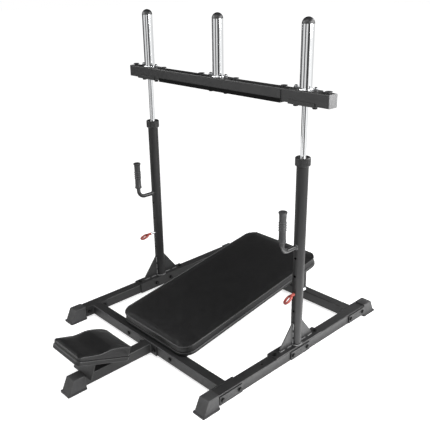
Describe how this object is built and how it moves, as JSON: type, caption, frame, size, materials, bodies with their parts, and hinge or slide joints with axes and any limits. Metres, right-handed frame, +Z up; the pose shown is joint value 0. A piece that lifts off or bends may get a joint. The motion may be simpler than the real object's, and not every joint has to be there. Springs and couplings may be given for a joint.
{
  "type": "vertical leg press",
  "caption": "Vertical leg press with a low base, a sloping back pad, a head pad, a foot beam on guide rods, plate pegs, hand grips and pull-out safety pins.",
  "frame": {"origin": "on the floor, under the middle of the part's bounding box", "axes": "+Z up, +Y from the head pad to the high end of the back pad, +X to the right for a viewer who stands at the head pad and looks along +Y"},
  "size_m": [1.254, 1.524, 1.494],
  "materials": {
    "coat": "satin black powder coat",
    "black_rubber": "matt moulded rubber",
    "chrome": "polished chrome plate",
    "vinyl": "black vinyl cover, semi matt",
    "board": "board wrapped in black vinyl",
    "black_plastic": "moulded black plastic",
    "grip_rubber": "soft black grip",
    "black_steel": "black zinc fasteners",
    "zinc": "bright zinc plate",
    "red_vinyl": "red dipped vinyl over wire",
    "nylon": "natural nylon"
  },
  "bodies": {
    "frame": {"left_side_rail": "coat", "right_side_rail": "coat", "front_left_boot": "black_rubber", "front_right_boot": "black_rubber", "rear_left_boot": "black_rubber", "rear_right_boot": "black_rubber", "head_boot": "black_rubber", "front_crossmember": "coat", "rear_crossmember": "coat", "head_rail": "coat", "left_pad_rail": "coat", "right_pad_rail": "coat", "left_saddle": "coat", "right_saddle": "coat", "left_upright": "coat", "right_upright": "coat", "left_collar": "black_plastic", "right_collar": "black_plastic", "left_handle": "coat", "right_handle": "coat", "left_grip": "grip_rubber", "right_grip": "grip_rubber", "backing_plates": "coat", "rail_bolts": "black_steel", "rail_nuts": "black_steel", "saddle_bolts": "black_steel", "cross_bolts": "black_steel", "cross_nuts": "black_steel", "back_pad_board": "board", "back_pad_cushion": "vinyl", "pad_bolts": "black_steel", "head_pad_board": "board", "head_pad_cushion": "vinyl", "head_pad_bracket": "coat", "head_pad_screws": "black_steel"},
    "carriage": {"beam": "coat", "beam_end_caps": "black_plastic", "left_peg": "chrome", "centre_peg": "chrome", "right_peg": "chrome", "left_peg_cap": "black_rubber", "centre_peg_cap": "black_rubber", "right_peg_cap": "black_rubber", "peg_plates": "coat", "plate_bumpers": "black_rubber", "left_rod_bracket": "coat", "right_rod_bracket": "coat", "left_guide_rod": "chrome", "right_guide_rod": "chrome", "left_rod_glide": "nylon", "right_rod_glide": "nylon", "foot_channel": "coat", "foot_grip_mat": "black_rubber", "carriage_bolts": "black_steel", "carriage_cap_nuts": "chrome"},
    "left_safety_pin": {"left_pin": "zinc", "left_pin_loop": "red_vinyl"},
    "right_safety_pin": {"right_pin": "zinc", "right_pin_loop": "red_vinyl"}
  },
  "joints": [
    {"name": "carriage_slide", "type": "slide", "parent": "frame", "child": "carriage", "axis": [0, 0, 1], "range_m": [0, 0.528]},
    {"name": "left_pin_slide", "type": "slide", "parent": "frame", "child": "left_safety_pin", "axis": [0, -1, 0], "range_m": [-0.026, 0.051]},
    {"name": "right_pin_slide", "type": "slide", "parent": "frame", "child": "right_safety_pin", "axis": [0, -1, 0], "range_m": [0, 0.078]}
  ]
}
